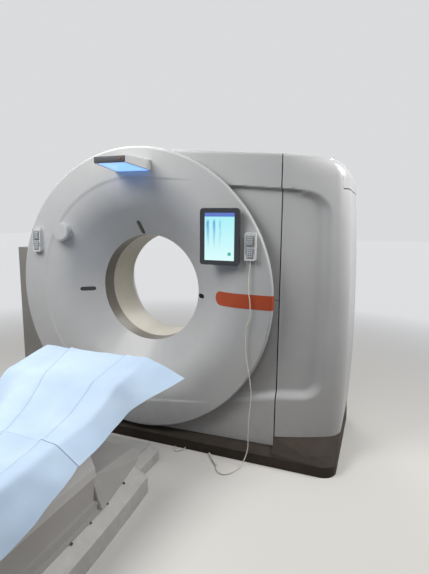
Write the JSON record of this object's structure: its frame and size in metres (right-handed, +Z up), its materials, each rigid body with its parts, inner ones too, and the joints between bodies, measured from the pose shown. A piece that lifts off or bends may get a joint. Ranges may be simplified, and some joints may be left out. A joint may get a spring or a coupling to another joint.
{
  "type": "medical imaging machine",
  "caption": "Computed tomography scanner: a round-faced ring gantry with a funnel bore, tablet and light hood, and a low patient table under a pale blue sheet",
  "frame": {"origin": "On the floor directly below the centre of the scan plane of the bore", "axes": "+X is to the right of someone who faces the gantry from the table, +Y runs along the bore from the table to the rear, +Z is up"},
  "size_m": [2.362, 3.63, 1.845],
  "materials": {
    "cover_white": "satin off-white moulded cover",
    "plinth_grey": "warm dark grey paint",
    "base_grey": "dark grey paint",
    "window_film": "dark scan window film",
    "tunnel_beige": "pale beige tunnel",
    "hood_grey": "dark grey moulding",
    "blue_lens": "blue lit diffuser",
    "orange_paint": "orange film",
    "fitting_grey": "light grey moulding",
    "tablet_black": "black bezel",
    "screen_glass": "lit screen",
    "dark_glass": "black laser window",
    "dark_screw": "black screw head",
    "lead_white": "off-white cable sheath",
    "frame_paint": "blue-grey frame paint",
    "machined_steel": "machined steel",
    "cast_aluminium": "machined aluminium",
    "sheet_metal": "grey powder coat",
    "brass_track": "brass slip ring tracks",
    "motor_paint": "blue motor paint",
    "belt_rubber": "black belt",
    "table_grey": "light grey table cover",
    "table_dark": "mid grey table cover",
    "table_board": "dark composite board",
    "pad_vinyl": "vinyl mattress cover",
    "pillow_cloth": "white head support cover",
    "sheet_cloth": "pale blue non-woven sheet"
  },
  "bodies": {
    "stand": {"gantry_frame": "frame_paint", "bearing_outer_ring": "machined_steel", "base_plinth": "plinth_grey", "front_face": "cover_white", "front_ring": "cover_white", "scan_window": "window_film", "bore_liner": "tunnel_beige", "mid_upper_cover": "cover_white", "mid_lower_cover": "cover_white", "right_cover": "cover_white", "roof_cover": "cover_white", "rear_cover": "cover_white", "drum_cover": "cover_white", "left_base_cover": "base_grey", "light_hood": "hood_grey", "hood_lens": "blue_lens", "orange_field": "orange_paint", "tablet_dock": "fitting_grey", "tablet": "tablet_black", "tablet_screen": "screen_glass", "blank_dock": "cover_white", "left_remote_holder": "fitting_grey", "left_remote": "fitting_grey", "right_remote_holder": "fitting_grey", "right_remote": "fitting_grey", "laser_windows": "dark_glass", "cover_screws": "dark_screw", "link_cover": "table_grey", "link_rails": "table_grey", "remote_lead": "lead_white", "spare_lead": "lead_white", "drive_motor": "motor_paint", "drive_belt": "belt_rubber", "brush_block": "hood_grey", "power_unit": "sheet_metal", "levelling_feet": "machined_steel", "table_skirt": "table_grey", "table_core_cover": "table_dark", "lift_column": "machined_steel", "lift_motor": "motor_paint"},
    "rotor": {"rotor_drum": "cast_aluminium", "xray_tube": "sheet_metal", "collimator": "frame_paint", "detector_arc": "frame_paint", "voltage_generator": "sheet_metal", "tube_cooler": "sheet_metal", "slip_ring": "brass_track"},
    "drive_wheel": {"motor_pulley": "cast_aluminium"},
    "upper_fan": {"fan_upper": "tablet_black"},
    "lower_fan": {"fan_lower": "tablet_black"},
    "middle_tube": {"lift_middle_tube": "machined_steel"},
    "spindle": {"lift_spindle": "machined_steel"},
    "carriage": {"carriage_frame": "frame_paint", "carriage_cover": "table_grey", "feed_motor": "motor_paint"},
    "feed_roller": {"feed_pulley": "cast_aluminium"},
    "bed": {"table_top": "table_board", "mattress": "pad_vinyl", "head_pillow": "pillow_cloth", "drape_sheet": "sheet_cloth"}
  },
  "joints": [
    {"name": "rotor_spin", "type": "hinge", "parent": "stand", "child": "rotor", "pos_m": [0, 0, 0.974], "axis": [0, 1, 0], "continuous": true},
    {"name": "drive_spin", "type": "hinge", "parent": "stand", "child": "drive_wheel", "pos_m": [0.49816, 0.1, 0.38032], "axis": [0, 1, 0], "continuous": true},
    {"name": "upper_fan_spin", "type": "hinge", "parent": "stand", "child": "upper_fan", "pos_m": [1.08, 0.58, 1.25], "axis": [0, 1, 0], "continuous": true},
    {"name": "lower_fan_spin", "type": "hinge", "parent": "stand", "child": "lower_fan", "pos_m": [1.08, 0.58, 0.95], "axis": [0, 1, 0], "continuous": true},
    {"name": "table_lift", "type": "slide", "parent": "stand", "child": "carriage", "axis": [0, 0, 1], "range_m": [0, 0.38]},
    {"name": "middle_tube_slide", "type": "slide", "parent": "stand", "child": "middle_tube", "axis": [0, 0, 1], "range_m": [0, 0.19]},
    {"name": "spindle_turn", "type": "hinge", "parent": "stand", "child": "spindle", "pos_m": [0, -1.85, 0.1], "axis": [0, 0, 1], "range_deg": [0, 6840]},
    {"name": "bed_feed", "type": "slide", "parent": "carriage", "child": "bed", "axis": [0, 1, 0], "range_m": [0, 0.28]},
    {"name": "feed_roller_turn", "type": "hinge", "parent": "carriage", "child": "feed_roller", "pos_m": [0, -1.135, 0.34], "axis": [1, 0, 0], "range_deg": [-642, 0]}
  ],
  "couplings": [
    {"joint": "drive_spin", "follows": "rotor_spin", "ratio": 10.333},
    {"joint": "middle_tube_slide", "follows": "table_lift", "ratio": 0.5},
    {"joint": "spindle_turn", "follows": "table_lift", "rad_per_m": 314.16},
    {"joint": "feed_roller_turn", "follows": "bed_feed", "rad_per_m": -40}
  ]
}
